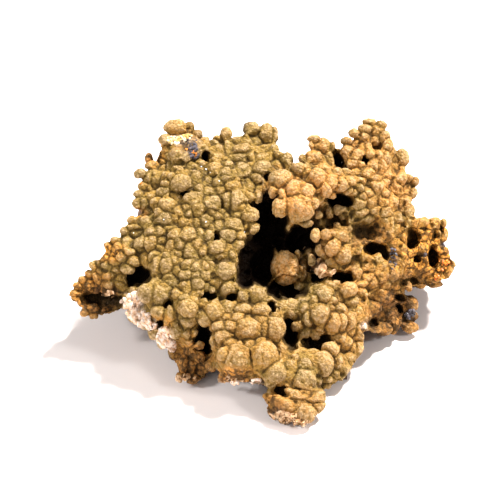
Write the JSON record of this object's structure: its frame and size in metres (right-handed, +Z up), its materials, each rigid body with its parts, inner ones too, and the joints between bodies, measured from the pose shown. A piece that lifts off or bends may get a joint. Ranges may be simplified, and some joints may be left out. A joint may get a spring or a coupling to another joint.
{
  "type": "mottramite mineral specimen",
  "caption": "Rough mottramite: grape-like olive crust on pitted brown matrix, with an open hollow in the middle of its leaning face.",
  "frame": {"origin": "centre of the footprint box, on the surface the specimen rests on", "axes": "+Z up, +X along the longest extent, -Y towards the side that the crusted show face leans back from"},
  "size_m": [0.0974, 0.0828, 0.0454],
  "materials": {
    "mottramite": "satin"
  },
  "bodies": {
    "root": {"mottramite_specimen": "mottramite"}
  },
  "joints": []
}
